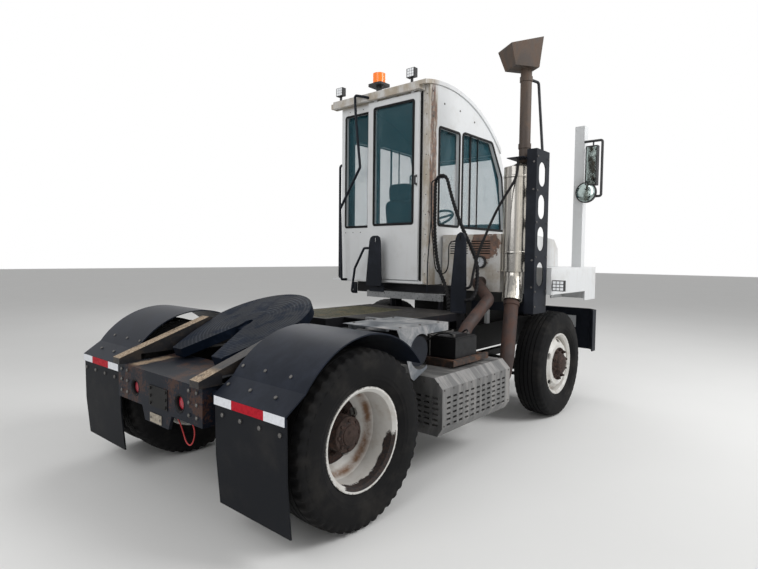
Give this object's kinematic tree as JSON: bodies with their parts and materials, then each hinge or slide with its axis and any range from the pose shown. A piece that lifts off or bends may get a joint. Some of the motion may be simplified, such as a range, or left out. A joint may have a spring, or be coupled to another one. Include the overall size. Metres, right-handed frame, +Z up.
{
  "type": "terminal tractor",
  "caption": "Port yard tractor with a tilting offset cab, a lifting fifth wheel, dual rear wheels, fenders, deck, side hood and upright exhaust.",
  "frame": {"origin": "on the ground below the middle of the whole machine's box", "axes": "+X forward, +Y to the machine's left, +Z up"},
  "size_m": [4.76, 2.68, 3.6],
  "materials": {
    "white_paint": "weathered gloss",
    "black_paint": "dusty satin",
    "frame_paint": "scuffed satin",
    "wheel_paint": "chipped, rust ring",
    "bare_steel": "greasy, rusty",
    "rusty_pipe": "scaled rust",
    "polished_pipe": "stained",
    "dull_aluminium": "dull, stained",
    "tread_grating": "worn, dusty",
    "tyre_rubber": "dusty",
    "flap_rubber": "dusty",
    "hose_rubber": "matt",
    "tinted_glass": "clear, tinted",
    "seat_fabric": "matt",
    "dark_plastic": "grained",
    "lamp_lens": "clear red and clear white",
    "beacon_lens": "clear amber and white",
    "mirror_shell": "satin",
    "battery_case": "dusty",
    "chromed_rod": "polished"
  },
  "bodies": {
    "chassis": {"frame_rails": "frame_paint", "tail_plate": "frame_paint", "lamps": "lamp_lens", "guide_ramps": "bare_steel", "rear_fenders": "black_paint", "mudflaps": "flap_rubber", "rear_axle": "frame_paint", "front_axle": "frame_paint", "deck_grating": "tread_grating", "deck_frame": "black_paint", "hood": "white_paint", "front_platform": "white_paint", "exhaust_stack": "rusty_pipe", "muffler": "polished_pipe", "exhaust_pipes": "rusty_pipe", "guard_channel": "black_paint", "aftertreatment_box": "dull_aluminium", "battery_tray": "black_paint", "battery": "battery_case", "side_cover": "dull_aluminium", "tanks": "black_paint", "engine_block": "frame_paint", "radiator": "black_paint", "front_bumper": "black_paint", "mirror_right": "mirror_shell", "hose_stands": "black_paint", "hose_loop": "hose_rubber", "hose_line": "hose_rubber"},
    "cab": {"cab_floor": "white_paint", "cab_rear_wall": "white_paint", "cab_left_wall": "white_paint", "cab_right_wall": "white_paint", "cab_roof": "white_paint", "cab_front": "white_paint", "cab_glass": "tinted_glass", "seat": "seat_fabric", "dashboard": "dark_plastic", "roof_lamps": "beacon_lens", "cab_handrails": "black_paint", "mirror_left": "mirror_shell"},
    "door": {"rear_door": "white_paint", "door_glass": "tinted_glass"},
    "steering": {"steering_wheel": "dark_plastic"},
    "boom": {"boom": "bare_steel"},
    "fifth_wheel_plate": {"fifth_wheel": "bare_steel"},
    "barrels": {"lift_barrels": "frame_paint"},
    "rods": {"lift_rods": "chromed_rod"},
    "knuckle_left": {"knuckle_left": "frame_paint"},
    "knuckle_right": {"knuckle_right": "frame_paint"},
    "tie_rod": {"tie_rod": "frame_paint"},
    "wheel_front_left": {"tyre_front_left": "tyre_rubber", "rim_front_left": "wheel_paint"},
    "wheel_front_right": {"tyre_front_right": "tyre_rubber", "rim_front_right": "wheel_paint"},
    "wheel_rear_left": {"tyre_rear_left": "tyre_rubber", "rim_rear_left": "wheel_paint"},
    "wheel_rear_right": {"tyre_rear_right": "tyre_rubber", "rim_rear_right": "wheel_paint"}
  },
  "joints": [
    {"name": "cab_tilt", "type": "hinge", "parent": "chassis", "child": "cab", "pos_m": [2.12, 0, 1.2], "axis": [0, 1, 0], "range_deg": [0, 45]},
    {"name": "door_slide", "type": "slide", "parent": "cab", "child": "door", "axis": [0, 1, 0], "range_m": [0, 0.5]},
    {"name": "boom_lift", "type": "hinge", "parent": "chassis", "child": "boom", "pos_m": [-0.4, 0, 0.74], "axis": [0, 1, 0], "range_deg": [0, 18]},
    {"name": "plate_tilt", "type": "hinge", "parent": "boom", "child": "fifth_wheel_plate", "pos_m": [-1.611, 0, 0.995], "axis": [0, 1, 0], "range_deg": [0, 22]},
    {"name": "barrel_swing", "type": "hinge", "parent": "chassis", "child": "barrels", "pos_m": [-1.23, 0, 0.505], "axis": [0, 1, 0], "range_deg": [0, 20.5]},
    {"name": "rod_stroke", "type": "slide", "parent": "barrels", "child": "rods", "axis": [-0.4617, 0, 0.887], "range_m": [0, 0.275]},
    {"name": "steer_left", "type": "hinge", "parent": "chassis", "child": "knuckle_left", "pos_m": [1.226, 0.856, 0.52], "axis": [0, 0, 1], "range_deg": [-35, 35]},
    {"name": "steer_right", "type": "hinge", "parent": "chassis", "child": "knuckle_right", "pos_m": [1.226, -0.856, 0.52], "axis": [0, 0, 1], "range_deg": [-35, 35]},
    {"name": "tie_rod_pivot", "type": "hinge", "parent": "knuckle_left", "child": "tie_rod", "pos_m": [1.036, 0.856, 0.396], "axis": [0, 0, 1], "range_deg": [-35, 35]},
    {"name": "steering_turn", "type": "hinge", "parent": "cab", "child": "steering", "pos_m": [1.66, 0.66, 2.06], "axis": [-0.5358, 0, 0.8443], "range_deg": [-490, 490]},
    {"name": "wheel_front_left_spin", "type": "hinge", "parent": "knuckle_left", "child": "wheel_front_left", "pos_m": [1.226, 1.03, 0.52], "axis": [0, 1, 0], "continuous": true},
    {"name": "wheel_front_right_spin", "type": "hinge", "parent": "knuckle_right", "child": "wheel_front_right", "pos_m": [1.226, -1.03, 0.52], "axis": [0, 1, 0], "continuous": true},
    {"name": "wheel_rear_left_spin", "type": "hinge", "parent": "chassis", "child": "wheel_rear_left", "pos_m": [-1.72, 0.9125, 0.52], "axis": [0, 1, 0], "continuous": true},
    {"name": "wheel_rear_right_spin", "type": "hinge", "parent": "chassis", "child": "wheel_rear_right", "pos_m": [-1.72, -0.9125, 0.52], "axis": [0, 1, 0], "continuous": true}
  ],
  "couplings": [
    {"joint": "barrel_swing", "follows": "boom_lift", "ratio": 1.1},
    {"joint": "rod_stroke", "follows": "boom_lift", "m_per_rad": 0.859},
    {"joint": "steer_right", "follows": "steer_left", "ratio": 1},
    {"joint": "tie_rod_pivot", "follows": "steer_left", "ratio": -1},
    {"joint": "steering_turn", "follows": "steer_left", "ratio": 14}
  ]
}
